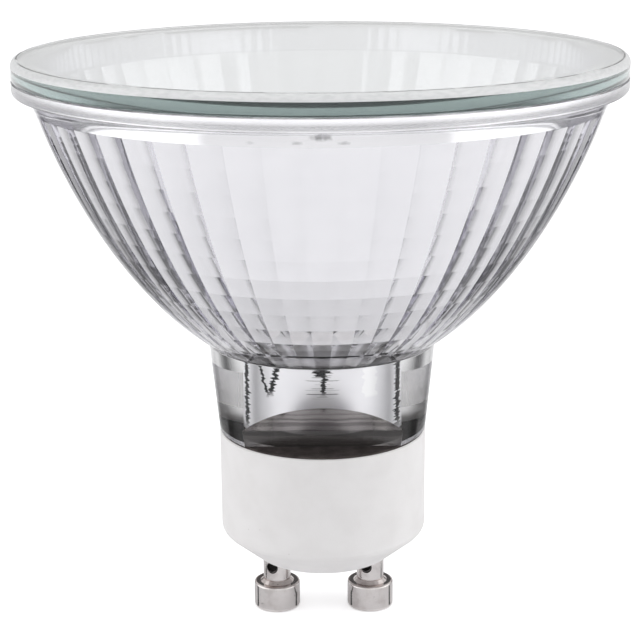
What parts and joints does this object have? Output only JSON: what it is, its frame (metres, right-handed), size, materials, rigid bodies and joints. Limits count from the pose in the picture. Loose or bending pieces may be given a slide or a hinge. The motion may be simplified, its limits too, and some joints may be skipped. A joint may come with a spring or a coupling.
{
  "type": "gu10 spotlight bulb",
  "caption": "Halogen reflector spotlight bulb: faceted glass bowl with clear front glass, thick glass neck, bevelled white ceramic base and twist-and-lock contact pins.",
  "frame": {"origin": "on the lamp's axis, at the flat ends of the contact pins", "axes": "+Z along the lamp's axis towards the front glass, X through both pins"},
  "size_m": [0.0606, 0.0606, 0.0593],
  "materials": {
    "nickel_pin": "bright nickel plating",
    "white_ceramic": "matt fired white",
    "dark_cement": "matt set cement",
    "reflector_glass": "clear pressed glass, mirror coated inside",
    "quartz_glass": "clear quartz",
    "seal_foil": "rolled foil",
    "lead_wire": "drawn wire",
    "fuse_metal": "drawn wire",
    "filament_metal": "dull wound wire",
    "clear_bond": "clear set adhesive",
    "front_glass": "clear plate glass, polished edge"
  },
  "bodies": {
    "root": {"contact_pin_left": "nickel_pin", "contact_pin_right": "nickel_pin", "ceramic_base": "white_ceramic", "base_cement": "dark_cement", "reflector": "reflector_glass", "capsule_cement": "dark_cement", "capsule_envelope": "quartz_glass", "seal_foil_left": "seal_foil", "seal_foil_right": "seal_foil", "inner_lead_left": "lead_wire", "inner_lead_right": "lead_wire", "outer_lead_left": "lead_wire", "outer_lead_right": "lead_wire", "fuse_wire": "fuse_metal", "filament_coil": "filament_metal", "front_glass_bond": "clear_bond", "front_glass": "front_glass"}
  },
  "joints": []
}
